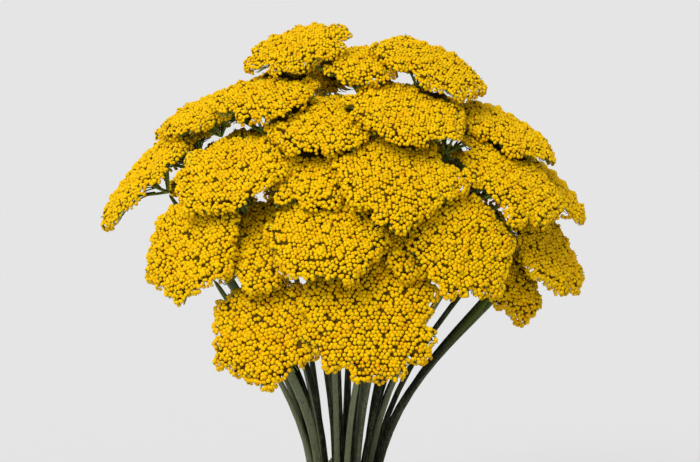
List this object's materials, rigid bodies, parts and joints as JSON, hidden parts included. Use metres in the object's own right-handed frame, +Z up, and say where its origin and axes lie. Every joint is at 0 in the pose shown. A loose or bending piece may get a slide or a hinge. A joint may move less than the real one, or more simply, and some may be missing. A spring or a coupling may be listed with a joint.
{
  "type": "potted yarrow",
  "caption": "Clump of yarrow in a plain clay pot: bare stems rise from the compost and carry flat yellow flower heads that close into one dome, over low ferny leaves.",
  "frame": {"origin": "centre of the pot's underside, on the surface it stands on", "axes": "+Z up along the pot's axis, front towards -Y"},
  "size_m": [0.4182, 0.427, 0.6187],
  "materials": {
    "clay": "dry unglazed terracotta, slightly paler where minerals have bloomed",
    "compost": "dark loose potting compost, matt",
    "stem": "grey-green ridged stem, softly downy",
    "leaf": "grey-green ferny leaf, softly downy",
    "floret": "dense matt golden-yellow florets"
  },
  "bodies": {
    "root": {"pot": "clay", "compost": "compost", "stems_middle": "stem", "stems_1": "stem", "stems_2": "stem", "stems_3": "stem", "stems_4": "stem", "stems_5": "stem", "stems_6": "stem", "stems_7": "stem", "leaf_1": "leaf", "leaf_2": "leaf", "leaf_3": "leaf", "leaf_4": "leaf", "leaf_5": "leaf", "leaf_6": "leaf", "flower_head_01": "floret", "flower_head_02": "floret", "flower_head_03": "floret", "flower_head_04": "floret", "flower_head_05": "floret", "flower_head_06": "floret", "flower_head_07": "floret", "flower_head_08": "floret", "flower_head_09": "floret", "flower_head_10": "floret", "flower_head_11": "floret", "flower_head_12": "floret", "flower_head_13": "floret", "flower_head_14": "floret", "flower_head_15": "floret", "flower_head_16": "floret", "flower_head_17": "floret", "flower_head_18": "floret", "flower_head_19": "floret", "flower_head_20": "floret", "flower_head_21": "floret", "flower_head_22": "floret", "flower_head_23": "floret", "flower_head_24": "floret", "flower_head_25": "floret", "flower_head_26": "floret", "flower_head_27": "floret", "flower_head_28": "floret", "flower_head_29": "floret", "flower_head_30": "floret", "flower_head_31": "floret", "flower_head_32": "floret", "flower_head_33": "floret", "flower_head_34": "floret", "flower_head_35": "floret", "flower_head_36": "floret", "flower_head_37": "floret", "flower_head_38": "floret", "flower_head_39": "floret", "flower_head_40": "floret", "flower_head_41": "floret", "flower_head_42": "floret"}
  },
  "joints": []
}
